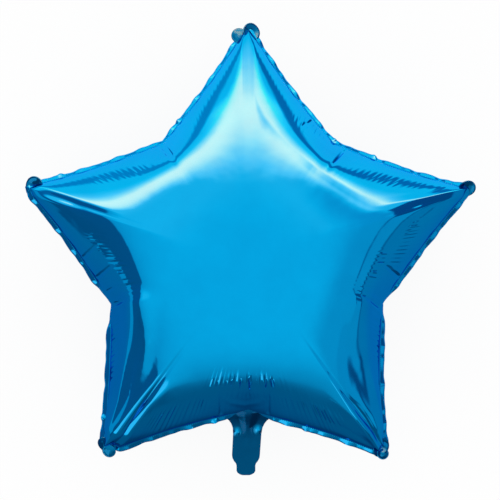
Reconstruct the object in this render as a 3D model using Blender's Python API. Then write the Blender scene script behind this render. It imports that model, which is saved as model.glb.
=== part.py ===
"""Star foil balloon, inflated and lying on its back.

Two star-shaped films are sealed to each other round the rim, with a flat filling tail at one
inner corner. Metres, +Z up. One tip points along +Y and the tail along -Y. The origin is the
middle of the small flat spot on the back crown, on which the balloon rests.
"""
import math

import bmesh
import bpy
from mathutils import Matrix, Vector

# Size of the inflated star
TIP_RADIUS = 0.213            # centre to the seal line at a tip
CORNER_RADIUS = 0.131         # centre to the seal line at an inner corner
EDGE_BOW = 0.003              # how far an edge draws in half way along an arm
CROWN_HEIGHT = 0.075          # seam plane to the front crown
CROWN_RADIUS = 0.103          # round shoulder that the level lines turn into near the crown
ARM_FULLNESS = 0.5            # how much an arm swells along its ridge
TIP_ROUNDING = 0.24           # how blunt the level lines are at a tip, growing with height
NECK_SPREAD = 0.0085          # how far the two edges beside the tail lie further out
SPREAD_SHARE = 0.15           # part of such an edge, from the tip, over which it moves out
REST_PRESS = 0.0009           # how far the back crown is pressed flat where it rests

# Seam round the rim
SEAM_WIDTH = 0.005            # flat seal outside the seal line
SEAM_THICKNESS = 0.0008       # both films, with their waviness
SEAM_WAVE = 0.0006            # how far the rim waves up and down
EAR_RADIUS = 0.0082           # round end of the seam at each tip
EAR_THICKNESS = 0.0012

# Puckers, which run square to the seam
PUCKER_REACH = 0.020          # from the seal line into the film
PUCKER_DEPTH = 0.0010         # each way from the mean surface, at an inner corner

# Creases in the taut film
CREASE_REACH = 0.040          # from the seal line into the film
CREASE_HALF_WIDTH = 0.007
CORNER_CREASE_DEPTH = 0.005
ARM_CREASE_DEPTH = 0.003
ARM_CREASE_SHARE = 0.40       # place on an edge, from tip 0 to corner 1
NECK_CREASE_DEPTH = 0.005
NECK_CREASE_SHARE = 0.80

# Filling tail
TAIL_WIDTH = 0.026
TAIL_LENGTH = 0.057           # rim at the corner to the end of the nub
TAIL_THICKNESS = 0.0016       # both films and the valve strip
TAIL_ROOT = 0.016             # how far the plate reaches in under the film
TAIL_FILLET = 0.009           # where the tail's sides turn into the rim
NUB_WIDTH = 0.017
NUB_LENGTH = 0.011
SHOULDER = 0.004              # sloping step from the tail's side to the nub
POCKET_LENGTH = 0.018         # inflated wedge, from the seal line down into the tail
POCKET_WIDTH = 0.048          # across its root, under the film
POCKET_HEIGHT = 0.024

# Mesh density
TIPS = 5
SPOKES_PER_EDGE = 8           # round the crown, from a tip to the next inner corner
RIM_CUTS = 4                  # extra spokes between two of those, near the rim
LEVELS = (0.99, 0.94, 0.85, 0.73, 0.58, 0.42, 0.27, 0.13, 0.0)   # rings, as shares of the height
FIRST_FINE_RING = 5           # rings from here outwards take the extra spokes
EAR_SIDES = 20
POCKET_SIDES = 16

EDGES = 2 * TIPS
SECTOR = math.pi / TIPS
FINE_PER_EDGE = SPOKES_PER_EDGE * (RIM_CUTS + 1)
FINE_SPOKES = EDGES * FINE_PER_EDGE
SIDE_RINGS = len(LEVELS) + 1
REST_LEVEL = CROWN_HEIGHT - REST_PRESS
HALF_SEAM = SEAM_THICKNESS / 2
NECK_RADIUS = CORNER_RADIUS + NECK_SPREAD   # centre to the seal line at the tail


def collection(name):
    group = bpy.data.collections.new(name)
    bpy.context.scene.collection.children.link(group)
    return group


def foil_material():
    material = bpy.data.materials.new("blue_foil")
    material.use_nodes = True
    shader = material.node_tree.nodes["Principled BSDF"]
    shader.inputs["Base Color"].default_value = (0.0, 0.36, 0.78, 1.0)
    shader.inputs["Metallic"].default_value = 1.0
    shader.inputs["Roughness"].default_value = 0.15
    return material


def bump(distance, half_width):
    """1 on the line, falling smoothly to 0 at half_width."""
    if abs(distance) >= half_width:
        return 0.0
    return 0.5 + 0.5 * math.cos(math.pi * distance / half_width)


def edge_share(spoke):
    """Which half arm a fine spoke is on, and how far along it from tip 0 to corner 1."""
    edge, step = divmod(spoke % FINE_SPOKES, FINE_PER_EDGE)
    share = step / FINE_PER_EDGE
    return edge, (share if edge % 2 == 0 else 1.0 - share)


def neck_edge(edge):
    """Whether a half arm ends at the corner with the tail."""
    return edge in (TIPS - 1, TIPS)


def edge_point(share):
    """Point of the seal line on a tip's first half arm, with the tip on the X axis."""
    tip = Vector((TIP_RADIUS, 0.0))
    corner = CORNER_RADIUS * Vector((math.cos(SECTOR), math.sin(SECTOR)))
    outward = Vector((corner.y - tip.y, tip.x - corner.x)).normalized()
    return tip.lerp(corner, share) - outward * EDGE_BOW * math.sin(math.pi * share)


def level_point(spoke, level=0.0):
    """Point of a level line on a spoke: the star at the seal, rounder towards the crown."""
    edge, share = edge_share(spoke)
    rim = edge_point(share)
    rounded = math.hypot(share, TIP_ROUNDING * level)
    star = edge_point(min(1.0, rounded)).length
    if neck_edge(edge):
        star += NECK_SPREAD * (1.0 - bump(share, SPREAD_SHARE))
    roundness = level ** (1.1 + ARM_FULLNESS * bump(share, 1.0))
    cap = math.sqrt(1.0 - level ** 10)
    radius = cap * (roundness * CROWN_RADIUS + (1.0 - roundness) * star)
    point = rim.normalized() * radius
    side = 1.0 if edge % 2 == 0 else -1.0
    middle = math.pi / 2 + ((edge + 1) // 2) * 2 * SECTOR
    return Matrix.Rotation(middle, 2) @ Vector((point.x, side * point.y))


def outward(spoke):
    """Direction square to the seal line, away from the film."""
    along = level_point(spoke + 1) - level_point(spoke - 1)
    return Vector((along.y, -along.x)).normalized()


def crease_depth(edge, share):
    """How far the creases draw the film in, at the seal."""
    length = (edge_point(0.0) - edge_point(1.0)).length
    depth = ARM_CREASE_DEPTH * bump((share - ARM_CREASE_SHARE) * length, CREASE_HALF_WIDTH)
    if neck_edge(edge):
        return depth + NECK_CREASE_DEPTH * bump((share - NECK_CREASE_SHARE) * length, CREASE_HALF_WIDTH)
    return depth + CORNER_CREASE_DEPTH * bump((share - 1.0) * length, CREASE_HALF_WIDTH)


def film_point(spoke, ring, side):
    """Place of a mesh point: side is +1 on the front film and -1 on the back one."""
    edge, share = edge_share(spoke)
    if ring == SIDE_RINGS:
        flat = level_point(spoke) + SEAM_WIDTH * outward(spoke)
        wave = SEAM_WAVE * math.sin(spoke) * (1.0 - bump(share, 0.1))
        return Vector((flat.x, flat.y, wave + side * HALF_SEAM))
    level = LEVELS[ring - 1]
    flat = level_point(spoke, level)
    height = HALF_SEAM + (CROWN_HEIGHT - HALF_SEAM) * level
    if level > 0.0:
        inset = (level_point(spoke) - flat).length
        pucker = PUCKER_DEPTH * (0.25 + 0.75 * share) * bump(inset, PUCKER_REACH)
        proud = (pucker if spoke % 2 else -pucker) - crease_depth(edge, share) * bump(inset, CREASE_REACH)
        flat += outward(spoke) * proud * math.sqrt(1.0 - level ** 2)
        height += proud * level
    if side < 0:
        height = min(height, REST_LEVEL)
    return Vector((flat.x, flat.y, side * height))


def inflated_films(group, material):
    """A ball's mesh, spoke by spoke and ring by ring laid over the star."""
    spokes = EDGES * SPOKES_PER_EDGE
    bands = 2 * SIDE_RINGS + 1
    mesh = bmesh.new()
    bmesh.ops.create_uvsphere(mesh, u_segments=spokes, v_segments=bands, radius=1.0)

    def ring_from_pole(point):
        return round(math.acos(max(-1.0, min(1.0, abs(point.z)))) / math.pi * bands)

    rim_edges = [
        edge for edge in mesh.edges
        if abs(edge.verts[0].co.z - edge.verts[1].co.z) < 1e-5
        and ring_from_pole(edge.verts[0].co) >= FIRST_FINE_RING
    ]
    rings = {vert: ring_from_pole(vert.co) for vert in mesh.verts}
    level = {ring: math.cos(math.pi * ring / bands) for ring in range(SIDE_RINGS + 1)}
    bmesh.ops.subdivide_edges(mesh, edges=rim_edges, cuts=RIM_CUTS, use_grid_fill=True)
    for vert in mesh.verts:
        ring = rings.get(vert)
        if ring is None:
            ring = min(level, key=lambda index: abs(level[index] - abs(vert.co.z)))
        side = 1.0 if vert.co.z > 0.0 else -1.0
        if ring == 0:
            vert.co = Vector((0.0, 0.0, CROWN_HEIGHT if side > 0 else -REST_LEVEL))
            continue
        turn = math.atan2(vert.co.y, vert.co.x) % (2 * math.pi)
        spoke = round(turn / (2 * math.pi) * FINE_SPOKES)
        vert.co = film_point(spoke, ring, side)
    data = bpy.data.meshes.new("balloon")
    mesh.to_mesh(data)
    mesh.free()
    data.materials.append(material)
    balloon = bpy.data.objects.new("balloon", data)
    group.objects.link(balloon)
    return balloon


def ear(index, group):
    """Round end of the seam at one tip."""
    mesh = bmesh.new()
    bmesh.ops.create_cone(
        mesh, cap_ends=True, segments=EAR_SIDES, radius1=EAR_RADIUS, radius2=EAR_RADIUS, depth=EAR_THICKNESS
    )
    data = bpy.data.meshes.new("ear")
    mesh.to_mesh(data)
    mesh.free()
    disc = bpy.data.objects.new("ear_%d" % index, data)
    place = level_point(index * 2 * FINE_PER_EDGE)
    disc.location = (place.x, place.y, 0.0)
    group.objects.link(disc)
    return disc


def tail_outline():
    """Half outline of the tail, from its root under the film to the end of the nub."""
    rim = -(NECK_RADIUS + SEAM_WIDTH)
    end = rim - TAIL_LENGTH
    half = TAIL_WIDTH / 2
    points = [(half + TAIL_FILLET, rim + TAIL_ROOT)]
    steps = 6
    for step in range(steps + 1):
        angle = math.pi / 2 * step / steps
        across = half + TAIL_FILLET * (1.0 - math.sin(angle))
        points.append((across, rim - TAIL_FILLET * (1.0 - math.cos(angle))))
    points.append((half, end + NUB_LENGTH + SHOULDER))
    points.append((NUB_WIDTH / 2 + SHOULDER / 2, end + NUB_LENGTH))
    points.append((NUB_WIDTH / 2, end + NUB_LENGTH - SHOULDER / 2))
    points.append((NUB_WIDTH / 2, end))
    return points


def tail_plate(group):
    """Flat tail with the valve strip sealed between the films."""
    right = tail_outline()
    outline = right + [(-across, down) for across, down in reversed(right)]
    curve = bpy.data.curves.new("tail", "CURVE")
    curve.dimensions = "2D"
    curve.fill_mode = "BOTH"
    curve.extrude = TAIL_THICKNESS / 2
    line = curve.splines.new("POLY")
    line.points.add(len(outline) - 1)
    for point, (across, down) in zip(line.points, outline):
        point.co = (across, down, 0.0, 1.0)
    line.use_cyclic_u = True
    shape = bpy.data.objects.new("tail_outline", curve)
    group.objects.link(shape)
    bpy.context.view_layer.update()
    depsgraph = bpy.context.evaluated_depsgraph_get()
    data = bpy.data.meshes.new_from_object(shape.evaluated_get(depsgraph))
    mesh = bmesh.new()
    mesh.from_mesh(data)
    bmesh.ops.remove_doubles(mesh, verts=mesh.verts, dist=0.00005)
    mesh.to_mesh(data)
    mesh.free()
    plate = bpy.data.objects.new("tail", data)
    plate.matrix_world = shape.matrix_world
    bpy.data.objects.remove(shape)
    group.objects.link(plate)
    return plate


def neck_pocket(group):
    """Inflated wedge that narrows down into the tail."""
    mesh = bmesh.new()
    reach = POCKET_LENGTH + TAIL_ROOT
    bmesh.ops.create_cone(
        mesh, cap_ends=True, segments=POCKET_SIDES, radius1=POCKET_WIDTH / 2, radius2=0.0, depth=reach
    )
    flatten = Matrix.Diagonal((1.0, POCKET_HEIGHT / POCKET_WIDTH, 1.0, 1.0))
    lay_down = Matrix.Rotation(math.pi / 2, 4, "X")
    middle = Matrix.Translation((0.0, -(NECK_RADIUS - TAIL_ROOT + reach / 2), 0.0))
    bmesh.ops.transform(mesh, matrix=middle @ lay_down @ flatten, verts=mesh.verts)
    data = bpy.data.meshes.new("neck_pocket")
    mesh.to_mesh(data)
    mesh.free()
    pocket = bpy.data.objects.new("neck_pocket", data)
    group.objects.link(pocket)
    return pocket


def join(body, tool):
    """Seal a shape to the films as one solid."""
    tool.hide_render = True
    tool.display_type = "WIRE"
    union = body.modifiers.new("with_" + tool.name, "BOOLEAN")
    union.operation = "UNION"
    union.solver = "EXACT"
    union.object = tool


def build():
    for thing in list(bpy.data.objects):
        bpy.data.objects.remove(thing, do_unlink=True)
    parts = collection("star_foil_balloon")
    tools = collection("shapes_joined_to_it")
    balloon = inflated_films(parts, foil_material())
    shapes = [ear(index, tools) for index in range(TIPS)]
    shapes += [neck_pocket(tools), tail_plate(tools)]
    for shape in shapes:
        join(balloon, shape)
        shape.location.z += REST_LEVEL
    balloon.location.z = REST_LEVEL
    balloon.data.shade_smooth()
    balloon.data.set_sharp_from_angle(angle=math.radians(50))


build()
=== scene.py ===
"""Star foil balloon, inflated, lying on its back on a pale floor and seen from straight above.

The film is laid out over the star by columns, which run from the seal line to the crown, and
rows, which are level lines round it. Folds, creases and the waves of the rim are worked out for
each point. The puckers, which repeat along the rim, are made by Geometry Nodes. The round tabs
at the tips and the filling tail are pieces of their own.
"""
import math

import bmesh
import bpy
import numpy as np
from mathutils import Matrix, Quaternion, Vector


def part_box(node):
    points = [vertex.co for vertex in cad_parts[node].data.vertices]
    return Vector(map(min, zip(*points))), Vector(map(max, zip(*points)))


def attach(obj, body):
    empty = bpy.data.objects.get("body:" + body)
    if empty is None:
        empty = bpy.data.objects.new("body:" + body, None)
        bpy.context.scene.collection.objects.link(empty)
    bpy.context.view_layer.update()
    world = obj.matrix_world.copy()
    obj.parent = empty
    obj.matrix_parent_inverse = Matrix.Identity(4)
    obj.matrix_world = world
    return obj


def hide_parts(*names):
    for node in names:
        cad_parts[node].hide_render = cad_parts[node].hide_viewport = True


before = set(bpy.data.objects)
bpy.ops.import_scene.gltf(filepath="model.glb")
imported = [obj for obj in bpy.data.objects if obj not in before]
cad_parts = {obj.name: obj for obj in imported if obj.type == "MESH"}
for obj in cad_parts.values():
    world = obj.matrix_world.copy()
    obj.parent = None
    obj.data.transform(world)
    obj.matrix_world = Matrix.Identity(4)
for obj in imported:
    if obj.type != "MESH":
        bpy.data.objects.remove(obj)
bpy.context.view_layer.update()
cad_low, cad_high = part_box("balloon")

MM = 0.001
SEED = 4

# Sizes of the star, whose tips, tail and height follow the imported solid's box
TAB_RADIUS = 8.2 * MM          # how far the solid's round end reaches past the top tip's seal
TIP_RADIUS = cad_high.y - TAB_RADIUS
TAIL_END = cad_low.y
CORNER_RADIUS = 131 * MM
EDGE_BOW = 3 * MM              # how far the middle of an edge is drawn in
REST_PRESS = 0.9 * MM          # how far the floor presses the back crown in
SEAM_LEVEL = (cad_high.z - REST_PRESS) / 2
CROWN_HEIGHT = SEAM_LEVEL + REST_PRESS
CROWN_RADIUS = 103 * MM
ROUNDING_POWER = 1.1           # how soon the level lines turn round, beside a corner
ARM_FULLNESS = 0.5             # added to it at the arms' tips
CAP_POWER = 10                 # how flat the crown is
TIP_ROUNDING = 0.24            # how much rounder the tips get towards the crown
SEAM_WIDTH = 5.6 * MM
RIM_THICKNESS = 0.4 * MM
SEAL_EASE = 4 * MM             # over which folds and puckers grow, inwards from the seal line

# How the rim leans down along each edge (radians), its waves (pitch in mm, lean) and its short
# kinks. At some of the five inner corners the swollen film hides it. The shares are shares of an
# edge over which its ends change.
RIM_LEAN = np.array([0.92, 0.92, 0.66, 0.60, 0.62, 0.62, 0.60, 0.66, 0.92, 0.92])
RIM_TIP_LEAN = 0.76
RIM_TIP_SHARE = 0.12
RIM_TIP_WIDER = 0.25
RIM_CORNER_LEAN = 1.25
RIM_CORNER_SHARE = 0.22
RIM_CORNER_NARROWER = 0.45
RIM_HIDDEN = np.array([0.1, 1.0, 1.0, 1.0, 0.1])
RIM_RINGS = (1.0, 0.72, 0.45, 0.2)             # shares of its width, from the cut edge inwards
RIM_WAVES = ((12.0, 0.03), (19.0, 0.06), (31.0, 0.09))
RIM_KINKS = 9
RIM_KINK_LEAN = 0.30
RIM_KINK_LENGTH = 8 * MM

# How far each edge of this balloon lies outside the regular star: near its tip, edge by edge
# anticlockwise from the top tip, and at the five inner corners, the first one left of that tip
TIPS = 5
SECTOR = math.pi / TIPS
EDGE_SPREAD = np.array([5.0, 4.0, 4.5, 17.0, 7.0, 13.0, -1.0, 4.0, 0.0, 1.5]) * MM
CORNER_SPREAD = np.array([2.5, 2.0, 8.5, -0.5, 2.5]) * MM
NECK = 2                       # the inner corner that the tail hangs from
SPREAD_SHARE = 0.10            # share of an edge, beside its tip, over which that spread sets in

# Layout of the film's mesh
EDGE_COLUMNS = 144
COLUMNS = 2 * TIPS * EDGE_COLUMNS
SIDE_ROWS = 13                 # rows on the steep side, up to SIDE_LEVEL
SIDE_LEVEL = 0.30
SHOULDER_ROWS = 26             # from there up to SHOULDER_LEVEL
SHOULDER_LEVEL = 0.88
CROWN_ROWS = 14
SIDE_CROWDING = 1.25           # the side rows lie closer near the seal
POLE_SHARE = 0.06              # size of the innermost row
COARSER_FROM = (0.55, 0.885, 0.97)             # levels where only each 2nd, 4th and 8th column goes on
COARSEST = 8

# Photograph's framing
PHOTO_SIZE = 500
PHOTO_CENTRE = (248.5, 259.5)  # pixel of the star's middle
PIXEL = 0.926 * MM
CAMERA_DISTANCE = 2.3
CAMERA_REACH = 20.0


def at_pixel(x, y):
    """Place in plan of a point picked out in the photograph."""
    return np.array([x - PHOTO_CENTRE[0], PHOTO_CENTRE[1] - y]) * PIXEL


def smooth_bump(distance):
    """1 at 0, falling smoothly to 0 at 1 and beyond."""
    return 0.5 + 0.5 * np.cos(np.pi * np.clip(np.abs(distance), 0.0, 1.0))


def unit(vectors):
    return vectors / np.linalg.norm(vectors, axis=-1, keepdims=True)


# The star's surface

def column_place(columns):
    """For each column: its edge, the side of that arm it is on, and its share from tip 0 to corner 1."""
    edge, step = np.divmod(np.asarray(columns) % COLUMNS, EDGE_COLUMNS)
    even = edge % 2 == 0
    share = np.where(even, step, EDGE_COLUMNS - step) / EDGE_COLUMNS
    return edge, np.where(even, 1.0, -1.0), share


def edge_point(share):
    """Point of the regular star's seal line, on half an arm whose tip is on the X axis."""
    tip = np.array([TIP_RADIUS, 0.0])
    corner = CORNER_RADIUS * np.array([math.cos(SECTOR), math.sin(SECTOR)])
    outward = unit(np.array([corner[1], tip[0] - corner[0]]))
    share = np.asarray(share)[..., None]
    return tip + (corner - tip) * share - outward * EDGE_BOW * np.sin(np.pi * share)


def edge_spread(edge, share):
    """How far this balloon's edge lies outside the regular star."""
    spread = EDGE_SPREAD[edge] * (1.0 - share) + CORNER_SPREAD[edge // 2] * share
    return spread * (1.0 - smooth_bump(share / SPREAD_SHARE))


def level_line(columns, level):
    """Plan of a level line: the star at the seal, rounder towards the crown."""
    edge, side, share = column_place(columns)
    rounded = np.minimum(1.0, np.hypot(share, TIP_ROUNDING * level))
    star = np.linalg.norm(edge_point(rounded), axis=-1) + edge_spread(edge, share)
    roundness = level ** (ROUNDING_POWER + ARM_FULLNESS * smooth_bump(share))
    cap = math.sqrt(1.0 - level ** CAP_POWER)
    radius = cap * (roundness * CROWN_RADIUS + (1.0 - roundness) * star)
    rim = edge_point(share)
    turn = math.pi / 2 + (edge + 1) // 2 * 2 * SECTOR + side * np.arctan2(rim[..., 1], rim[..., 0])
    return np.stack([radius * np.cos(turn), radius * np.sin(turn)], -1)


def seam_outward(columns):
    """Direction in plan, square to the seal line and away from the film."""
    along = level_line(columns + 1, 0.0) - level_line(columns - 1, 0.0)
    return unit(np.stack([along[..., 1], -along[..., 0]], -1))


def rim_distance():
    """Distance round the seal line up to each column."""
    line = level_line(np.arange(COLUMNS), 0.0)
    steps = np.linalg.norm(np.diff(line, axis=0), axis=1)
    return np.concatenate([[0.0], np.cumsum(steps)])


# Folds in the film. Each has the points of its line picked out in the photograph, how far it stands
# out (mm, below 0 for a crease) and its half width at the first and last point (mm).
ARM_FOLDS = (
    (((463, 189), (420, 199), (378, 206)), 0.9, 1.6, 2.6),
    (((463, 198), (430, 208), (405, 227), (382, 255)), -1.0, 2.0, 4.0),
    (((36, 193), (70, 208), (92, 228), (108, 250)), 0.7, 2.0, 4.0),
    (((110, 440), (124, 400), (133, 352), (136, 312)), 1.1, 1.8, 3.0),
    (((111, 438), (131, 395), (143, 345), (147, 303)), -0.7, 1.5, 2.6),
    (((113, 445), (130, 426), (150, 402), (172, 383), (202, 373)), 2.6, 6.0, 9.0),
    (((379, 446), (350, 412), (321, 386)), 1.7, 2.0, 4.5),
    (((380, 445), (364, 416), (347, 393)), -1.2, 1.6, 2.8),
    (((383, 442), (373, 400), (362, 360), (360, 312)), 1.4, 2.5, 5.0),
    (((374, 447), (345, 428), (318, 414)), -0.9, 1.6, 3.0),
    (((222, 394), (231, 401), (245, 404), (259, 401), (268, 394)), 0.35, 1.8, 1.8),
)

# The same for the short creases that run from the seal line inwards
CROSS_CREASES = (
    (((158, 142), (180, 167)), -1.8, 1.9, 1.4),
    (((347, 147), (324, 174)), -1.8, 1.9, 1.4),
    (((104, 309), (133, 297)), -1.5, 1.6, 1.2),
    (((94, 280), (121, 260)), -1.2, 1.3, 1.0),
    (((82, 259), (106, 239)), -1.0, 1.2, 0.9),
    (((105, 293), (119, 285)), -0.7, 1.2, 0.9),
    (((400, 278), (378, 261)), -1.3, 1.4, 1.0),
    (((386, 311), (354, 290)), -1.8, 1.8, 1.4),
    (((315, 120), (299, 129)), -0.8, 1.2, 0.9),
    (((221, 420), (221, 376)), -1.0, 1.2, 1.1),
    (((268, 420), (268, 374)), -1.0, 1.2, 1.1),
)

# A swell is a broad fullness along such a line, with its height and half width (mm).
SWELLS = (
    (((116, 425), (130, 380), (138, 335), (139, 305)), 4.5, 22),
    (((378, 425), (368, 380), (361, 335), (360, 305)), 3.0, 18),
)

# Across a fold, in its half widths: the power of its falling side, and the trough beside it
# (depth, place and half width)
FOLD_SHARPNESS = 1.25
FOLD_TROUGH = (0.22, 2.4, 0.9)


def line_distance(plan, points):
    """Distance from a broken line through picked points, and the share of its length reached there."""
    points = [at_pixel(*point) for point in points]
    lengths = [np.linalg.norm(end - start) for start, end in zip(points, points[1:])]
    nearest = np.full(plan.shape[:-1], np.inf)
    share = np.zeros(plan.shape[:-1])
    for index, (start, end) in enumerate(zip(points, points[1:])):
        along = np.clip((plan - start) @ unit(end - start), 0.0, lengths[index])
        off = np.linalg.norm(plan - start - along[..., None] * unit(end - start), axis=-1)
        closer = off < nearest
        nearest = np.where(closer, off, nearest)
        share = np.where(closer, (sum(lengths[:index]) + along) / sum(lengths), share)
    return nearest, share


def fold(plan, points, height, start_width, end_width, fading):
    """One fold along a broken line, as a height. The fading takes the share of its length."""
    nearest, share = line_distance(plan, points)
    off = nearest / MM / (start_width + (end_width - start_width) * share)
    trough, place, width = FOLD_TROUGH
    shape = np.exp(-off ** FOLD_SHARPNESS) - trough * np.exp(-((off - place) / width) ** 2)
    return height * MM * shape * fading(share)


def fade_both_ends(share):
    """Strength along an arm's fold, strongest before its middle."""
    return np.sin(np.pi * np.clip(share, 0.03, 0.97) ** 0.8)


def fade_inwards(share):
    """Strength along a crease that starts full at the seal line."""
    return smooth_bump(share ** 2.6)


def folds(plan):
    """How far the folds, creases and swells move the film out, in metres."""
    total = np.zeros(plan.shape[:-1])
    for line in ARM_FOLDS:
        total += fold(plan, *line, fade_both_ends)
    for line in CROSS_CREASES:
        total += fold(plan, *line, fade_inwards)
    for points, height, half_width in SWELLS:
        nearest, _ = line_distance(plan, points)
        total += height * MM * smooth_bump(nearest / (half_width * MM))
    return total


# Strength of the puckers: faint ones all along the seal, fuller towards the inner corners. A comb
# is a stretch of strong ones: two points of its line picked out in the photograph, half its
# breadth (mm) and its strength.
FAINT_PUCKERS = (0.02, 0.04)   # at a tip, and added towards a corner
FAINT_INSET = 9 * MM           # strongest this far inside the seal line
FAINT_REACH = 14 * MM          # and gone this far from there
COMB_REACH = 1.5               # of the half breadth, out to where a comb ends
COMBS = (
    ((102, 181), (140, 171), 7, 0.16),
    ((140, 171), (176, 153), 7, 0.36),
    ((222, 58), (183, 130), 9, 0.20),
    ((300, 121), (322, 138), 7, 0.32),
    ((338, 169), (393, 183), 7, 0.20),
    ((393, 183), (440, 186), 7, 0.07),
    ((116, 258), (134, 292), 7, 1.0),
    ((96, 236), (116, 258), 6, 0.4),
    ((381, 257), (361, 291), 7, 1.0),
    ((411, 226), (392, 262), 8, 0.45),
    ((112, 325), (112, 372), 8, 0.6),
    ((378, 322), (378, 352), 8, 0.5),
    ((218, 381), (272, 381), 11, 1.25),
    ((158, 420), (200, 400), 9, 0.8),
    ((283, 393), (332, 418), 9, 0.8),
)


def pucker_strength(plan, inset, share):
    """0 where the film is smooth, 1 in the strongest combs."""
    at_tip, added = FAINT_PUCKERS
    strength = (at_tip + added * share) * smooth_bump((inset - FAINT_INSET) / FAINT_REACH)
    for start, end, half_breadth, peak in COMBS:
        off, _ = line_distance(plan, (start, end))
        strength = np.maximum(strength, peak * smooth_bump(off / (half_breadth * COMB_REACH * MM)))
    return strength * (1.0 - smooth_bump(inset / SEAL_EASE))


# The film's mesh

def film_rows(side):
    """Levels of the rows from the seal to the crown, and how many columns apart their points are.

    The back, which lies on the floor, has fewer of both.
    """
    side_levels = SIDE_LEVEL * (np.arange(SIDE_ROWS) / SIDE_ROWS) ** SIDE_CROWDING
    shoulder_levels = np.linspace(SIDE_LEVEL, SHOULDER_LEVEL, SHOULDER_ROWS)
    shoulder_cap = math.sqrt(1.0 - SHOULDER_LEVEL ** CAP_POWER)
    caps = np.linspace(shoulder_cap, POLE_SHARE, CROWN_ROWS + 1)[1:]
    crown_levels = (1.0 - caps ** 2) ** (1 / CAP_POWER)
    levels = np.concatenate([side_levels, shoulder_levels, crown_levels])
    apart = np.select([levels < limit for limit in COARSER_FROM], [1, 2, 4], COARSEST)
    if side < 0:
        every = np.concatenate([
            np.arange(0, SIDE_ROWS + SHOULDER_ROWS, 2),
            np.arange(SIDE_ROWS + SHOULDER_ROWS, len(levels)),
        ])
        return levels[every], np.minimum(apart * 2, COARSEST)[every]
    return levels, apart


def surface_normals(points):
    """Outward normals of a grid of rows (crownwards) and columns (round, closed)."""
    across = np.roll(points, -1, 1) - np.roll(points, 1, 1)
    up = np.gradient(points, axis=0)
    return unit(np.cross(across, up))


def half_film(side):
    """Points of one film, rows from the seal to the crown, with inset and pucker strength."""
    levels, _ = film_rows(side)
    columns = np.arange(COLUMNS)
    plan = np.stack([level_line(columns, level) for level in levels])
    height = np.repeat(levels[:, None] * CROWN_HEIGHT, COLUMNS, 1)
    points = np.concatenate([plan, height[..., None]], -1)
    normals = surface_normals(points)
    inset = np.linalg.norm(plan - plan[0], axis=-1)
    _, _, share = column_place(columns)
    seen = plan if side > 0 else plan * np.array([-1.0, 1.0])     # the back is like a mirrored front
    rise = folds(seen) * (1.0 - smooth_bump(inset / SEAL_EASE))
    strength = pucker_strength(seen, inset, share)
    points += normals * rise[..., None]
    points[..., 2] = np.maximum(points[..., 2], 0.0)
    if side < 0:     # the floor holds the back flat
        points[..., 2] = -np.minimum(points[..., 2], SEAM_LEVEL - RIM_THICKNESS / 2)
    return points, inset, strength


def seam_flange(side):
    """Rings of the sealed rim, from its cut edge to just outside the seal line."""
    seal = level_line(np.arange(COLUMNS), 0.0)
    outward = seam_outward(np.arange(COLUMNS))
    distance = rim_distance()
    edge, _, share = column_place(np.arange(COLUMNS))
    random = np.random.default_rng(SEED)
    wave = np.zeros(COLUMNS)
    for pitch, lean in RIM_WAVES:
        count = round(distance[-1] / (pitch * MM))
        phase = random.uniform(0.0, 2 * np.pi)
        wave += lean * np.sin(2 * np.pi * count * distance / distance[-1] + phase)
    for place in random.uniform(0.0, distance[-1], RIM_KINKS):
        wave -= RIM_KINK_LEAN * smooth_bump((distance - place) / (RIM_KINK_LENGTH / 2))
    at_tip = smooth_bump(share / RIM_TIP_SHARE)
    at_corner = smooth_bump((1.0 - share) / RIM_CORNER_SHARE) * RIM_HIDDEN[edge // 2]
    even_lean = RIM_LEAN[edge] + (RIM_TIP_LEAN - RIM_LEAN[edge]) * at_tip
    lean = even_lean + wave * (1.0 - at_tip) + (RIM_CORNER_LEAN - even_lean) * at_corner
    width = SEAM_WIDTH * (1.0 + RIM_TIP_WIDER * at_tip - RIM_CORNER_NARROWER * at_corner)
    rings = []
    for out in RIM_RINGS:
        flat = seal + outward * (width * out * np.cos(lean))[:, None]
        drop = width * out * np.sin(lean)
        ring = np.concatenate([flat, (side * RIM_THICKNESS / 2 - drop)[:, None]], 1)
        rings.append((ring, -SEAM_WIDTH * out))
    return rings


def stitch(faces, outer, inner, flip):
    """Faces between two rings, where the outer one has as many points as the inner or twice as many."""
    count = len(inner)
    ratio = len(outer) // count
    for index in range(count):
        start = index * ratio
        ring = [outer[(start + step) % len(outer)] for step in range(ratio + 1)]
        face = ring + [inner[(index + 1) % count], inner[index]]
        faces.append(face[::-1] if flip else face)


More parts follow.
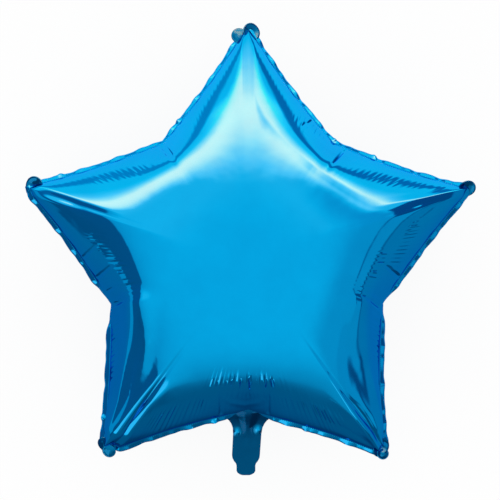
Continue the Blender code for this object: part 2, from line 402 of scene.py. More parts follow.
def film_mesh():
    """The two films and the sealed rim between them, as one closed mesh."""
    distance = rim_distance()
    verts, faces = [], []
    attributes = {"along": [], "inset": [], "strength": []}

    def add_ring(points, every, inset, strength):
        start = len(verts)
        verts.extend(points[::every])
        attributes["along"].extend(distance[::every])
        attributes["inset"].extend(np.broadcast_to(inset, COLUMNS)[::every])
        attributes["strength"].extend(np.broadcast_to(strength, COLUMNS)[::every])
        return list(range(start, len(verts)))

    cut_rings = []
    for side in (1, -1):
        levels, apart = film_rows(side)
        points, inset, strength = half_film(side)
        points[..., 2] += side * RIM_THICKNESS / 2
        rings = [add_ring(ring, 1, ring_inset, 0.0) for ring, ring_inset in seam_flange(side)]
        for row in range(len(levels)):
            every = 1 if row == 0 else apart[row]
            rings.append(add_ring(points[row], every, inset[row], strength[row]))
        for outer, inner in zip(rings, rings[1:]):
            stitch(faces, outer, inner, side < 0)
        pole = len(verts)
        pole_height = CROWN_HEIGHT + RIM_THICKNESS / 2 if side > 0 else -SEAM_LEVEL
        verts.append(np.array([0.0, 0.0, pole_height]))
        attributes["along"].append(0.0)
        attributes["inset"].append(CROWN_RADIUS)
        attributes["strength"].append(0.0)
        last = rings[-1]
        for index in range(len(last)):
            face = [last[index], last[(index + 1) % len(last)], pole]
            faces.append(face if side > 0 else face[::-1])
        cut_rings.append(rings[0])
    stitch(faces, cut_rings[1], cut_rings[0], False)
    return np.array(verts), faces, attributes


def new_mesh(name, verts, faces):
    data = bpy.data.meshes.new(name)
    data.from_pydata([tuple(map(float, vert)) for vert in verts], [], faces)
    data.update()
    piece = bpy.data.objects.new(name, data)
    bpy.context.scene.collection.objects.link(piece)
    data.shade_smooth()
    return piece


def store(piece, name, values):
    """Keep one number for each point of the piece's mesh."""
    layer = piece.data.attributes.new(name, "FLOAT", "POINT")
    layer.data.foreach_set("value", np.asarray(values, dtype=np.float32))


# Puckers, by Geometry Nodes. Both noises are made along the rim, at so many waves a metre.
PUCKER_PITCH = 5.3 * MM
PUCKER_DEPTH = 1.15 * MM
PUCKER_WANDER = 6 * MM
WANDER_SCALE = 60.0
UNEVEN_SCALE = 95.0
UNEVENNESS = 1.5
MEAN_HEIGHT = 0.95
RIDGE_POWER = 1.6              # above 1, so that ridges are narrower than the troughs
RIDGE_SINK = 0.4               # their mean, so that the film stays where it is
SHARP_ANGLE = math.radians(60)


def link(tree, value, socket):
    """Feed a socket from another one, or set it."""
    if isinstance(value, bpy.types.NodeSocket):
        tree.links.new(value, socket)
    else:
        socket.default_value = value


def math_node(tree, operation, *inputs):
    node = tree.nodes.new("ShaderNodeMath")
    node.operation = operation
    for value, socket in zip(inputs, node.inputs):
        link(tree, value, socket)
    return node.outputs[0]


def fade(tree, value, full, none):
    """1 where the value is at full, 0 where it is at none, and smooth between them."""
    node = tree.nodes.new("ShaderNodeMapRange")
    node.interpolation_type = "SMOOTHSTEP"
    link(tree, value, node.inputs["Value"])
    link(tree, none, node.inputs["From Min"])
    link(tree, full, node.inputs["From Max"])
    return node.outputs["Result"]


def pucker_nodes():
    """Ridges square to the seam, at a pitch that wanders, as strong as the mesh's own field says."""
    tree = bpy.data.node_groups.new("puckers", "GeometryNodeTree")
    tree.interface.new_socket("Geometry", in_out="INPUT", socket_type="NodeSocketGeometry")
    for name in ("Pitch", "Depth", "Wander", "Seed"):
        tree.interface.new_socket(name, in_out="INPUT", socket_type="NodeSocketFloat")
    tree.interface.new_socket("Foil", in_out="INPUT", socket_type="NodeSocketMaterial")
    tree.interface.new_socket("Geometry", in_out="OUTPUT", socket_type="NodeSocketGeometry")
    given = tree.nodes.new("NodeGroupInput").outputs
    result = tree.nodes.new("NodeGroupOutput").inputs

    def field(name):
        node = tree.nodes.new("GeometryNodeInputNamedAttribute")
        node.data_type = "FLOAT"
        node.inputs["Name"].default_value = name
        return node.outputs["Attribute"]

    def noise(scale):
        node = tree.nodes.new("ShaderNodeTexNoise")
        node.noise_dimensions = "1D"
        node.inputs["Scale"].default_value = scale
        node.inputs["Detail"].default_value = 1.0
        tree.links.new(math_node(tree, "ADD", field("along"), given["Seed"]), node.inputs["W"])
        return math_node(tree, "SUBTRACT", node.outputs[0], 0.5)

    shift = math_node(tree, "MULTIPLY", noise(WANDER_SCALE), given["Wander"])
    phase = math_node(tree, "DIVIDE", math_node(tree, "ADD", field("along"), shift), given["Pitch"])
    wave = math_node(tree, "SINE", math_node(tree, "MULTIPLY", phase, 2 * math.pi))
    rounded = math_node(tree, "MULTIPLY_ADD", wave, 0.5, 0.5)
    peaked = math_node(tree, "POWER", rounded, RIDGE_POWER)
    ridge = math_node(tree, "SUBTRACT", peaked, RIDGE_SINK)
    uneven = math_node(tree, "MULTIPLY_ADD", noise(UNEVEN_SCALE), UNEVENNESS, MEAN_HEIGHT)
    height = math_node(tree, "MULTIPLY", ridge, uneven)
    height = math_node(tree, "MULTIPLY", height, field("strength"))
    height = math_node(tree, "MULTIPLY", height, given["Depth"])
    offset = tree.nodes.new("ShaderNodeVectorMath")
    offset.operation = "SCALE"
    tree.links.new(tree.nodes.new("GeometryNodeInputNormal").outputs[0], offset.inputs[0])
    tree.links.new(height, offset.inputs["Scale"])
    move = tree.nodes.new("GeometryNodeSetPosition")
    tree.links.new(given["Geometry"], move.inputs["Geometry"])
    tree.links.new(offset.outputs[0], move.inputs["Offset"])
    realize = tree.nodes.new("GeometryNodeRealizeInstances")
    tree.links.new(move.outputs[0], realize.inputs[0])
    finish = tree.nodes.new("GeometryNodeSetMaterial")
    tree.links.new(realize.outputs[0], finish.inputs["Geometry"])
    tree.links.new(given["Foil"], finish.inputs["Material"])
    tree.links.new(finish.outputs[0], result["Geometry"])
    return tree


def run_nodes(piece, tree, values):
    """Give the piece the tree's result as its plain mesh."""
    modifier = piece.modifiers.new(tree.name, "NODES")
    modifier.node_group = tree
    for socket in tree.interface.items_tree:
        if socket.in_out == "INPUT" and socket.name in values:
            modifier[socket.identifier] = values[socket.name]
    depsgraph = bpy.context.evaluated_depsgraph_get()
    result = bpy.data.meshes.new_from_object(piece.evaluated_get(depsgraph))
    piece.modifiers.remove(modifier)
    piece.data = result
    result.shade_smooth()
    result.set_sharp_from_angle(angle=SHARP_ANGLE)


# The foil: its blue as film, where two films are sealed and in the tail, the paler tint at a
# grazing angle, and the share that its clear polyester face mirrors. The sealed blue and, far more,
# the tail's blue are darker than the film's: partly the duller sealed film, partly painted shade.
# Where it is hazy it is a little darker and rougher.
FOIL_BLUE = (0.004, 0.385, 0.77)
SEALED_BLUE_AND_PAINTED_SHADE = (0.001, 0.16, 0.36)
TAIL_BLUE_AND_PAINTED_SHADE = (0.001, 0.075, 0.19)
EDGE_TINT = (0.03, 0.60, 0.95)
SEALED_EDGE_TINT = (0.01, 0.30, 0.60)
CLEAR_FACE = 0.01
SEALED_CLEAR_FACE = 0.02
CLEAR_FACE_ROUGHNESS = 0.05
HAZY_TONE = (1.0, 0.93, 0.95)
FOIL_ROUGHNESS = (0.045, 0.09)                 # where it is clear, and where it is hazy
SEALED_ROUGHNESS = (0.12, 0.20)
RIBS_ROUGHER = 0.06

# Its ripple: waves a metre, and the heights of the ripple and of its grain
FOIL_RIPPLE = (70.0, 0.10 * MM, 0.003 * MM)
SEALED_RIPPLE = (150.0, 0.16 * MM, 0.008 * MM)
GRAIN_SCALE = 900.0
HAZE_SCALE = 38.0
HAZE_GAIN = 2.4
HAZE_START = -0.7

# Fine ribs that the sealing tool leaves beside the seal line
RIB_PITCH = 1.9 * MM
RIB_REACH = 1.6 * MM
RIB_HEIGHT = 0.06 * MM


def crinkle_group():
    """Shader group: the film's fine ripple as a height in metres, and its haze from 0 to 1."""
    tree = bpy.data.node_groups.new("film_crinkle", "ShaderNodeTree")
    for name in ("Ripple Scale", "Ripple Height", "Grain Height"):
        tree.interface.new_socket(name, in_out="INPUT", socket_type="NodeSocketFloat")
    tree.interface.new_socket("Height", in_out="OUTPUT", socket_type="NodeSocketFloat")
    tree.interface.new_socket("Haze", in_out="OUTPUT", socket_type="NodeSocketFloat")
    given = tree.nodes.new("NodeGroupInput").outputs
    result = tree.nodes.new("NodeGroupOutput").inputs
    place = tree.nodes.new("ShaderNodeTexCoord").outputs["Object"]

    def noise(scale, detail):
        node = tree.nodes.new("ShaderNodeTexNoise")
        tree.links.new(place, node.inputs["Vector"])
        link(tree, scale, node.inputs["Scale"])
        node.inputs["Detail"].default_value = detail
        return node.outputs["Fac"]

    ripple = math_node(tree, "MULTIPLY", noise(given["Ripple Scale"], 1.0), given["Ripple Height"])
    grain = math_node(tree, "MULTIPLY", noise(GRAIN_SCALE, 2.0), given["Grain Height"])
    tree.links.new(math_node(tree, "ADD", ripple, grain), result["Height"])
    spread = math_node(tree, "MULTIPLY_ADD", noise(HAZE_SCALE, 4.0), HAZE_GAIN, HAZE_START)
    spread.node.use_clamp = True
    tree.links.new(spread, result["Haze"])
    return tree


def mesh_number(tree, name):
    """Shader socket of a number that the mesh keeps for each point."""
    node = tree.nodes.new("ShaderNodeAttribute")
    node.attribute_name = name
    return node.outputs["Fac"]


def mix_colour(tree, share, first, second):
    """Shader socket of a colour between two, at a share of the way."""
    node = tree.nodes.new("ShaderNodeMix")
    node.data_type = "RGBA"
    link(tree, share, node.inputs[0])
    link(tree, first, node.inputs[6])      # the node's first sockets are for numbers and vectors
    link(tree, second, node.inputs[7])
    return node.outputs[2]


def seal_ribs(tree):
    """Height in metres of the seal's ribs, and how near the seal line a point is, from 0 to 1."""
    turns = math_node(tree, "MULTIPLY", mesh_number(tree, "along"), 2 * math.pi / RIB_PITCH)
    ribs = math_node(tree, "SINE", turns)
    sealed = fade(tree, math_node(tree, "ABSOLUTE", mesh_number(tree, "inset")), 0.0, RIB_REACH)
    ribs = math_node(tree, "MULTIPLY", math_node(tree, "MULTIPLY", ribs, sealed), RIB_HEIGHT)
    return ribs, sealed


def foil_material(name, crinkle, colour, edge_tint, clear_face, ripple, roughness, seal):
    """Blue metallised film, which turns to the clear film's blue where the mesh says it is free.

    On the tail, whose blue is partly painted shade, that makes lighter spots: painted highlight.
    """
    material = bpy.data.materials.new(name)
    material.use_nodes = True
    tree = material.node_tree
    nodes = tree.nodes
    shader = nodes["Principled BSDF"]
    shader.inputs["Metallic"].default_value = 1.0
    shader.inputs["Specular Tint"].default_value = (*edge_tint, 1.0)
    shader.inputs["Coat Weight"].default_value = clear_face
    shader.inputs["Coat Roughness"].default_value = CLEAR_FACE_ROUGHNESS
    group = nodes.new("ShaderNodeGroup")
    group.node_tree = crinkle
    for socket, value in zip(group.inputs, ripple):
        socket.default_value = value
    haze = group.outputs["Haze"]
    height = group.outputs["Height"]
    smooth, hazy = roughness
    rough = math_node(tree, "MULTIPLY_ADD", haze, hazy - smooth, smooth)
    if seal:
        ribs, sealed = seal_ribs(tree)
        height = math_node(tree, "ADD", height, ribs)
        rough = math_node(tree, "MULTIPLY_ADD", sealed, RIBS_ROUGHER, rough)
    hazy_colour = [part * tone for part, tone in zip(colour, HAZY_TONE)]
    tone = mix_colour(tree, haze, (*colour, 1.0), (*hazy_colour, 1.0))
    # Painted highlight: where the tail's film is free, the film's own blue replaces its painted shade.
    mixed = mix_colour(tree, mesh_number(tree, "free"), tone, (*FOIL_BLUE, 1.0))
    tree.links.new(mixed, shader.inputs["Base Color"])
    tree.links.new(rough, shader.inputs["Roughness"])
    bump = nodes.new("ShaderNodeBump")
    bump.inputs["Distance"].default_value = 1.0
    tree.links.new(height, bump.inputs["Height"])
    tree.links.new(bump.outputs["Normal"], shader.inputs["Normal"])
    return material


def sealed_material_with_painted_shade(name, crinkle, colour):
    """Foil of two films sealed to each other, which is rougher and not as bright.

    Its darker blue is partly painted shade.
    """
    return foil_material(
        name, crinkle, colour, SEALED_EDGE_TINT, SEALED_CLEAR_FACE,
        SEALED_RIPPLE, SEALED_ROUGHNESS, seal=False,
    )


def make_film(material):
    """Both films with their folds and puckers, at their height above the floor."""
    verts, faces, attributes = film_mesh()
    verts[:, 2] += SEAM_LEVEL
    film = new_mesh("film", verts, faces)
    for name, values in attributes.items():
        store(film, name, values)
    run_nodes(film, pucker_nodes(), {
        "Pitch": PUCKER_PITCH,
        "Depth": PUCKER_DEPTH,
        "Wander": PUCKER_WANDER,
        "Seed": float(SEED),
        "Foil": material,
    })
    return film


# Round tabs at the tips, with the small round ones beside some of them: where each one's middle is
# seen in the photograph, its radius (mm), how far it leans (degrees) and towards which azimuth,
# and how far its middle stands out (mm)
TABS = (
    ((239.0, 35.5), 7.2, 14, 110, 1.2),
    ((251.5, 32.0), 8.7, 30, 20, -1.6),
    ((34.3, 186.0), 9.2, 26, 190, -1.6),
    ((103.5, 443.5), 6.0, 26, 200, 0.8),
    ((109.0, 451.0), 6.4, 24, 250, 1.0),
    ((381.0, 447.5), 9.4, 40, 330, -1.2),
    ((382.8, 453.6), 5.6, 8, 260, 3.0),
    ((467.0, 188.5), 8.4, 32, -70, -1.6),
)
TAB_SIDES = 48
TAB_HALF_THICKNESS = 0.15
TAB_WAVE = 0.25                # of its edge, three waves round (mm)

# A tab's dish, from its middle to its edge: share of the radius, and share of the height there
DISH = ((0.0, 1.0), (0.35, 0.94), (0.6, 0.56), (0.78, 0.12), (0.9, -0.12), (1.0, 0.0))


def dish_rings(mesh, side, radius, dome, leaning, middle):
    """Rings of points on one side of a tab, from its middle to its edge."""
    rings = []
    for share, height in DISH:
        ring = []
        for step in range(TAB_SIDES if share else 1):
            angle = 2 * math.pi * step / TAB_SIDES
            wave = TAB_WAVE * share * math.sin(3 * angle + radius)
            local = Vector((
                math.cos(angle) * share * radius * MM,
                math.sin(angle) * share * radius * MM,
                (height * dome + wave + side * TAB_HALF_THICKNESS) * MM,
            ))
            local.rotate(leaning)
            ring.append(mesh.verts.new(local + middle))
        rings.append(ring)
    return rings


def make_tabs(material):
    """Dished round ends of the seam, each leaning its own way."""
    mesh = bmesh.new()
    for place, radius, lean, towards, dome in TABS:
        axis = Vector((-math.sin(math.radians(towards)), math.cos(math.radians(towards)), 0.0))
        leaning = Quaternion(axis, math.radians(lean))
        middle = Vector((*at_pixel(*place), SEAM_LEVEL))
        edges = []
        for side in (1, -1):
            rings = dish_rings(mesh, side, radius, dome, leaning, middle)
            edges.append(rings[-1])
            for inner, outer in zip(rings, rings[1:]):
                for step in range(TAB_SIDES):
                    after = (step + 1) % TAB_SIDES
                    face = [outer[step], outer[after]]
                    face += [inner[after % len(inner)], inner[step % len(inner)]]
                    face = list(dict.fromkeys(face))     # a triangle at the middle
                    mesh.faces.new(face if side > 0 else face[::-1])
        top, bottom = edges
        for step in range(TAB_SIDES):
            after = (step + 1) % TAB_SIDES
            mesh.faces.new((bottom[step], bottom[after], top[after], top[step]))
    data = bpy.data.meshes.new("tip_tabs")
    mesh.to_mesh(data)
    mesh.free()
    tabs = bpy.data.objects.new("tip_tabs", data)
    bpy.context.scene.collection.objects.link(tabs)
    data.materials.append(material)
    data.shade_smooth()
    return tabs


# Filling tail. It is laid out by distances across and down, the second from the rim at its corner,
# all in mm.
TAIL_START = -5.0              # under the film
TAIL_STEP = 0.5
TAIL_COLUMNS = 61
TAIL_HALF_WIDTHS = (           # down, and half the width there
    (-5, 22.0), (0, 24.0), (3, 23.4), (5, 20.5), (7, 17.8), (10, 15.6), (14, 13.9),
    (20, 13.2), (40, 13.0), (43, 12.6), (46, 11.0), (48, 9.4), (50, 8.8), (55, 8.8),
    (57, 7.8), (58.7, 5.2), (59.5, 1.8),
)
TAIL_DROP = (                  # down, and how far it has drooped there
    (-5, 0.0), (0, 0.8), (4, 4.0), (8, 7.0), (14, 10.0), (24, 13.0), (40, 16.5), (60, 20.0),
)
TAIL_SMOOTHING = 17            # steps over which the droop is averaged
TAIL_ASIDE = 2.4               # how far it swings aside
TAIL_ASIDE_LENGTH = 40
TAIL_EDGE = 0.2                # half its thickness at its sides
TAIL_BODY = 0.3                # and how much is added in its middle
POCKET_DOWN = (-5, 0, 6, 14, 24)
POCKET_HALF_WIDTHS = (20.0, 15.0, 11.0, 7.0, 6.0)
POCKET_HEIGHTS = (2.0, 2.6, 2.4, 1.2, 0.0)
SLEEVE_HEIGHT = 0.3
SLEEVE_MIDDLE = (-1, 34)       # across and down
SLEEVE_HALF = (9.0, 18)
TAIL_RIPPLE = 0.07
TAIL_RIPPLE_TURN = (0.8, 0.25)                 # radians for each mm across and down
TAIL_RIPPLE_MIDDLE = 24
TAIL_RIPPLE_HALF = 22
# Spots of free film, raised as beads and coloured the film's own blue, lighter than the tail's painted
# shade: painted highlight.
TAIL_BEADS = ((-9.6, 18.0), (9.6, 16.0))       # free film beside the neck
TAIL_BEAD_HALF = (5.2, 6.0)
TAIL_BEAD_HEIGHT = 1.6


def tail_thickness(across, x, down):
    """Half the tail's thickness: its films, the neck's pocket and the valve strip's sleeve."""
    edge = TAIL_EDGE + TAIL_BODY * (1.0 - np.abs(across)) ** 0.5
    pocket_half = np.interp(down, POCKET_DOWN, POCKET_HALF_WIDTHS)
    pocket = np.interp(down, POCKET_DOWN, POCKET_HEIGHTS) * smooth_bump(x / pocket_half)
    sleeve = SLEEVE_HEIGHT * smooth_bump((x - SLEEVE_MIDDLE[0]) / SLEEVE_HALF[0])
    sleeve = sleeve * smooth_bump((down - SLEEVE_MIDDLE[1]) / SLEEVE_HALF[1])
    return edge + pocket + sleeve


def tail_ripple(x, down):
    """The tail's faint waves, which both of its sides share."""
    turn = x * TAIL_RIPPLE_TURN[0] + down * TAIL_RIPPLE_TURN[1]
    return TAIL_RIPPLE * np.sin(turn) * smooth_bump((down - TAIL_RIPPLE_MIDDLE) / TAIL_RIPPLE_HALF)


def tail_free_and_painted_highlight(x, down):
    """1 in the middle of each spot of free film, 0 where the films are sealed.

    It raises the beads, and it also marks a painted highlight on the tail.
    """
    across_half, down_half = TAIL_BEAD_HALF
    return sum(
        smooth_bump(np.hypot((x - bead_x) / across_half, (down - bead_down) / down_half))
        for bead_x, bead_down in TAIL_BEADS
    )


def tail_sheet(side):
    """Rows of points of one side of the tail, and how free its film is at each.

    The second also marks the tail's painted highlight.
    """
    rim = -(CORNER_RADIUS + CORNER_SPREAD[NECK] + SEAM_WIDTH * 0.5)
    length = (rim - TAIL_END) / MM
    downs = np.append(np.arange(TAIL_START, length, TAIL_STEP), length)
    halves = np.interp(downs, *zip(*TAIL_HALF_WIDTHS))
    drops = np.pad(np.interp(downs, *zip(*TAIL_DROP)), TAIL_SMOOTHING // 2, "edge")
    drops = np.convolve(drops, np.full(TAIL_SMOOTHING, 1 / TAIL_SMOOTHING), "valid")
    across = np.sin(np.linspace(-0.5, 0.5, TAIL_COLUMNS) * np.pi)
    rows, free = [], []
    for down, half, drop in zip(downs, halves, drops):
        x = across * half
        y = np.full_like(x, rim / MM - down)
        bead = tail_free_and_painted_highlight(x, down)
        thickness = tail_thickness(across, x, down)
        z = tail_ripple(x, down) - drop + side * thickness + TAIL_BEAD_HEIGHT * bead
        aside = TAIL_ASIDE * np.clip(down / TAIL_ASIDE_LENGTH, 0, 1)
        rows.append(np.stack([x - aside, y, z], -1) * MM)
        free.append(bead)
    return np.array(rows), np.concatenate(free)


def make_tail(material):
    """Flat tail: both films and the valve strip, with the neck's pocket running out in it."""
    front, free = tail_sheet(1)
    behind, _ = tail_sheet(-1)
    count_down, count_across = front.shape[:2]
    verts = np.concatenate([front.reshape(-1, 3), behind.reshape(-1, 3)])
    verts[:, 2] += SEAM_LEVEL
    back = count_down * count_across
    faces = []

    def at(sheet, row, column):
        return sheet * back + row * count_across + column

    for row in range(count_down - 1):
        for column in range(count_across - 1):
            quad = [at(0, row, column), at(0, row + 1, column)]
            quad += [at(0, row + 1, column + 1), at(0, row, column + 1)]
            faces.append(quad)
            faces.append([corner + back for corner in quad[::-1]])
    border = [(row, 0) for row in range(count_down)]
    border += [(count_down - 1, column) for column in range(1, count_across)]
    border += [(row, count_across - 1) for row in range(count_down - 2, -1, -1)]
    border += [(0, column) for column in range(count_across - 2, 0, -1)]
    for here, after in zip(border, border[1:] + border[:1]):
        faces.append([at(0, *after), at(0, *here), at(1, *here), at(1, *after)])
    tail = new_mesh("tail", verts, faces)
    tail.visible_glossy = False      # its flap is hidden under the film, which would mirror it
    # The tail's free spots, kept for its material, where it shows a painted highlight.
    store(tail, "free", np.tile(free, 2))
    tail.data.materials.append(material)
    return tail


# Studio

def set_curve(node, stops):
    """Put a float curve through stops of place and value, both from 0 to 1."""
    points = node.mapping.curves[0].points
    points[0].location = stops[0]
    points[1].location = stops[-1]
    for stop in stops[1:-1]:
        points.new(*stop)
    node.mapping.update()


def curve(tree, value, stops):
    """Value run through a curve of stops."""
    low, high = stops[0][0], stops[-1][0]
    top = max(height for _, height in stops)
    node = tree.nodes.new("ShaderNodeFloatCurve")
    set_curve(node, [((where - low) / (high - low), height / top) for where, height in stops])
    share = math_node(tree, "DIVIDE", math_node(tree, "SUBTRACT", value, low), high - low)
    tree.links.new(share, node.inputs["Value"])
    return math_node(tree, "MULTIPLY", node.outputs[0], top)


def arc_degrees(tree, cosine):
    """Angle of a cosine, in degrees."""
    return math_node(tree, "MULTIPLY", math_node(tree, "ARCCOSINE", cosine), 180 / math.pi)


# Brightness of the studio that the foil mirrors where no card or flag stands, by how far a
# direction tilts from straight up (degrees)
OPEN_STUDIO = (
    (0, 1.0), (20, 0.97), (36, 0.84), (50, 0.68), (65, 0.54),
    (76, 0.36), (90, 0.25), (126, 0.21), (142, 0.11), (180, 0.08),
)

# Pale walls and dark flags round it: middle azimuth (+X is 0, +Y is 90) and half breadth, from
# which tilt to which, softness of their edges (all in degrees) and brightness. The flags stand
# before the softbox.
WALLS = (
    (100, 75, 12, 46, 18, 1.13),     # ceiling beyond the top tip
    (92, 60, 40, 185, 9, 1.22),      # wall beyond the top tip
    (4, 44, 26, 56, 20, 0.68),       # grey card, right
)
FLAGS = (
    (52, 32, 110, 122, 5, 0.36),     # gap in the wall, right
    (138, 32, 113, 124, 5, 0.58),    # gap in the wall, left
    (41, 12, 50, 70, 12, 1.15),      # end of the softbox, right
    (10, 27, 53, 86, 2.5, 0.14),     # dark flag, right
    (340, 17, 55, 80, 5, 0.60),      # grey card, right
    (348, 30, 86, 185, 6, 0.42),     # grey card, low on the right
    (308, 18, 68, 86, 4, 0.18),      # dark flag, lower right
    (296, 12, 60, 100, 6, 0.17),     # another beside it
    (188, 25, 51, 91, 2.5, 0.19),    # dark flag, left
    (186, 26, 93, 113, 4, 0.60),     # grey card, low on the left
    (190, 34, 113, 185, 6, 0.34),    # darker card below it
    (212, 8, 56, 112, 3, 0.18),      # dark flag, lower left
    (251, 10, 44, 66, 6, 0.90),      # pale card, lower left
    (236, 18, 40, 86, 4, 1.28),      # lamp, lower left
    (301, 10, 45, 62, 3, 1.25),      # lamp, lower right
)

# Arched softbox beyond the top tip: tilt of its middle, how far it sinks at its ends, and its
# brightness by how far a direction lies below its middle (degrees)
SOFTBOX_AZIMUTH = 90
SOFTBOX_TILT = 48
SOFTBOX_SINK = 34
SOFTBOX_SINK_POWER = 3.0
SOFTBOX_HALF_BREADTH = 46
SOFTBOX_SOFTNESS = 8
SOFTBOX = (
    (-36, 1.0), (-32, 1.15), (-28, 1.4), (-22, 1.75), (-12, 2.25), (-3, 2.4),
    (8, 2.4), (15, 2.1), (24, 1.7), (30, 1.45), (46, 1.2),
)

# The studio's colour by its brightness. Green is the brightness itself. Red, of which the foil
# keeps very little, grows steeply above PALE_FROM. Blue is a power of the brightness, and the
# power is lower towards +Y.
PALE_FROM = 1.0
PALEST = 2.4
PALE_RED = 110.0
PALE_POWER = 2.0
BODY_RED = 0.3
BLUE_POWER = 0.70
BLUE_POWER_CHANGE = -0.14
BLUEST = 1.26


def studio_brightness(tree, tilt, level):
    """Brightness in a direction, from its tilt in degrees and its unit vector in plan."""

    def turn_from(azimuth):
        """Angle in plan between the direction and an azimuth, in degrees."""
        turn = math.radians(azimuth)
        dot = tree.nodes.new("ShaderNodeVectorMath")
        dot.operation = "DOT_PRODUCT"
        link(tree, level, dot.inputs[0])
        link(tree, (math.cos(turn), math.sin(turn), 0.0), dot.inputs[1])
        limited = math_node(tree, "MAXIMUM", dot.outputs["Value"], -1.0)
        return arc_degrees(tree, math_node(tree, "MINIMUM", limited, 1.0))

    def screens(bright, cards):
        """Brightness with cards set before it."""
        for azimuth, half, upper, lower, soft, strength in cards:
            inside = fade(tree, turn_from(azimuth), half - soft / 2, half + soft / 2)
            below = fade(tree, tilt, upper + soft / 2, upper - soft / 2)
            inside = math_node(tree, "MULTIPLY", inside, below)
            above = fade(tree, tilt, lower - soft / 2, lower + soft / 2)
            inside = math_node(tree, "MULTIPLY", inside, above)
            step = math_node(tree, "SUBTRACT", strength, bright)
            bright = math_node(tree, "MULTIPLY_ADD", step, inside, bright)
        return bright

    bright = screens(curve(tree, tilt, OPEN_STUDIO), WALLS)
    aside = turn_from(SOFTBOX_AZIMUTH)
    share = math_node(tree, "DIVIDE", aside, SOFTBOX_HALF_BREADTH)
    sink = math_node(tree, "POWER", share, SOFTBOX_SINK_POWER)
    middle = math_node(tree, "MULTIPLY_ADD", sink, SOFTBOX_SINK, SOFTBOX_TILT)
    glow = curve(tree, math_node(tree, "SUBTRACT", tilt, middle), SOFTBOX)
    lit = fade(tree, aside, SOFTBOX_HALF_BREADTH, SOFTBOX_HALF_BREADTH + SOFTBOX_SOFTNESS)
    glow = math_node(tree, "MULTIPLY", glow, lit)
    return screens(math_node(tree, "MAXIMUM", bright, glow), FLAGS)


def studio_colour(tree, bright, level):
    """Colour of a brightness.

    A camera shows a strong highlight on blue foil as pale, and mirrored dark flags as deep blue.
    """
    over = math_node(tree, "MAXIMUM", math_node(tree, "SUBTRACT", bright, PALE_FROM), 0.0)
    over = math_node(tree, "DIVIDE", over, PALEST - PALE_FROM)
    over = math_node(tree, "POWER", over, PALE_POWER)
    dim = math_node(tree, "MULTIPLY", bright, BODY_RED)
    across = tree.nodes.new("ShaderNodeSeparateXYZ")
    link(tree, level, across.inputs[0])
    power = math_node(tree, "MULTIPLY_ADD", across.outputs["Y"], BLUE_POWER_CHANGE, BLUE_POWER)
    colour = tree.nodes.new("ShaderNodeCombineColor")
    link(tree, math_node(tree, "MULTIPLY_ADD", over, PALE_RED, dim), colour.inputs["Red"])
    link(tree, bright, colour.inputs["Green"])
    blue = math_node(tree, "MINIMUM", math_node(tree, "POWER", bright, power), BLUEST)
    link(tree, blue, colour.inputs["Blue"])
    return colour.outputs[0]


def surroundings():
    """White world, which glossy rays see as the studio with its softbox, cards and flags."""
    world = bpy.data.worlds.new("studio")
    bpy.context.scene.world = world
    world.use_nodes = True
    tree = world.node_tree
    nodes, links = tree.nodes, tree.links
    split = nodes.new("ShaderNodeSeparateXYZ")
    links.new(nodes.new("ShaderNodeTexCoord").outputs["Generated"], split.inputs[0])
    flat = nodes.new("ShaderNodeCombineXYZ")
    links.new(split.outputs["X"], flat.inputs["X"])
    links.new(split.outputs["Y"], flat.inputs["Y"])
    level = nodes.new("ShaderNodeVectorMath")
    level.operation = "NORMALIZE"
    links.new(flat.outputs[0], level.inputs[0])
    bright = studio_brightness(tree, arc_degrees(tree, split.outputs["Z"]), level.outputs[0])
    plain = nodes["Background"]
    plain.inputs["Color"].default_value = (1.0, 1.0, 1.0, 1.0)
    mirrored = nodes.new("ShaderNodeBackground")
    links.new(studio_colour(tree, bright, level.outputs[0]), mirrored.inputs["Color"])
    either = nodes.new("ShaderNodeMixShader")
    links.new(nodes.new("ShaderNodeLightPath").outputs["Is Glossy Ray"], either.inputs["Fac"])
    links.new(plain.outputs[0], either.inputs[1])
    links.new(mirrored.outputs[0], either.inputs[2])
    links.new(either.outputs[0], nodes["World Output"].inputs["Surface"])


# Floor

FLOOR_HALF_WIDTH = 4.0
FLOOR_WHITE = (0.97, 0.97, 0.97, 1.0)
FLOOR_GLOW = 0.9


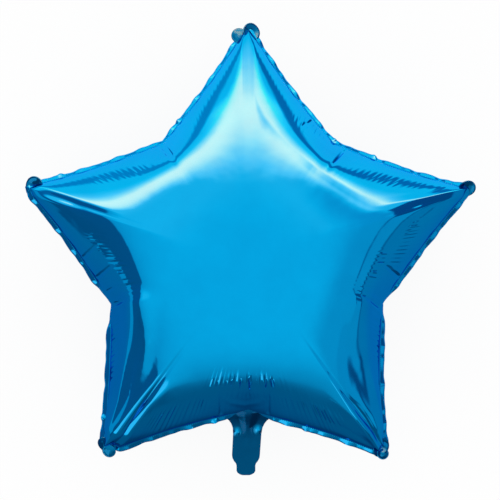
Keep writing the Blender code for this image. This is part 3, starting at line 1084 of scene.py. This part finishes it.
def pale_floor():
    """Floor that a camera sees as nearly plain white, with a faint shadow on it."""
    corners = ((-1, -1), (1, -1), (1, 1), (-1, 1))
    verts = [(x * FLOOR_HALF_WIDTH, y * FLOOR_HALF_WIDTH, 0.0) for x, y in corners]
    floor = new_mesh("floor", verts, [(0, 1, 2, 3)])
    floor.visible_glossy = False
    material = bpy.data.materials.new("floor")
    material.use_nodes = True
    tree = material.node_tree
    shader = tree.nodes["Principled BSDF"]
    shader.inputs["Base Color"].default_value = FLOOR_WHITE
    shader.inputs["Roughness"].default_value = 1.0
    shader.inputs["Specular IOR Level"].default_value = 0.0
    lit = tree.nodes.new("ShaderNodeEmission")
    both = tree.nodes.new("ShaderNodeMixShader")
    seen = tree.nodes.new("ShaderNodeLightPath").outputs["Is Camera Ray"]
    tree.links.new(math_node(tree, "MULTIPLY", seen, FLOOR_GLOW), both.inputs["Fac"])
    tree.links.new(shader.outputs[0], both.inputs[1])
    tree.links.new(lit.outputs[0], both.inputs[2])
    tree.links.new(both.outputs[0], tree.nodes["Material Output"].inputs["Surface"])
    floor.data.materials.append(material)


def camera():
    """Camera straight above, which frames the star as the photograph does."""
    data = bpy.data.cameras.new("camera")
    view = bpy.data.objects.new("camera", data)
    bpy.context.scene.collection.objects.link(view)
    x, y = at_pixel(PHOTO_SIZE / 2, PHOTO_SIZE / 2)
    view.location = (x, y, SEAM_LEVEL + CAMERA_DISTANCE)
    data.lens = data.sensor_width * CAMERA_DISTANCE / (PHOTO_SIZE * PIXEL)
    data.clip_end = CAMERA_REACH
    bpy.context.scene.camera = view


def declare(piece, replaced=False):
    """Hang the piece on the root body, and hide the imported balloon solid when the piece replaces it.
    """
    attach(piece, "root")
    if replaced:
        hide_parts("balloon")


crinkle = crinkle_group()
foil = foil_material(
    "blue_foil", crinkle, FOIL_BLUE, EDGE_TINT, CLEAR_FACE,
    FOIL_RIPPLE, FOIL_ROUGHNESS, seal=True,
)
declare(make_film(foil), replaced=True)
# The tabs' and the tail's darker blues are partly painted shade.
declare(make_tabs(sealed_material_with_painted_shade("blue_foil_sealed_and_painted_shade", crinkle, SEALED_BLUE_AND_PAINTED_SHADE)))
declare(make_tail(sealed_material_with_painted_shade("blue_foil_tail_and_painted_shade", crinkle, TAIL_BLUE_AND_PAINTED_SHADE)))
surroundings()
pale_floor()
camera()
bpy.context.scene.view_settings.view_transform = "Standard"
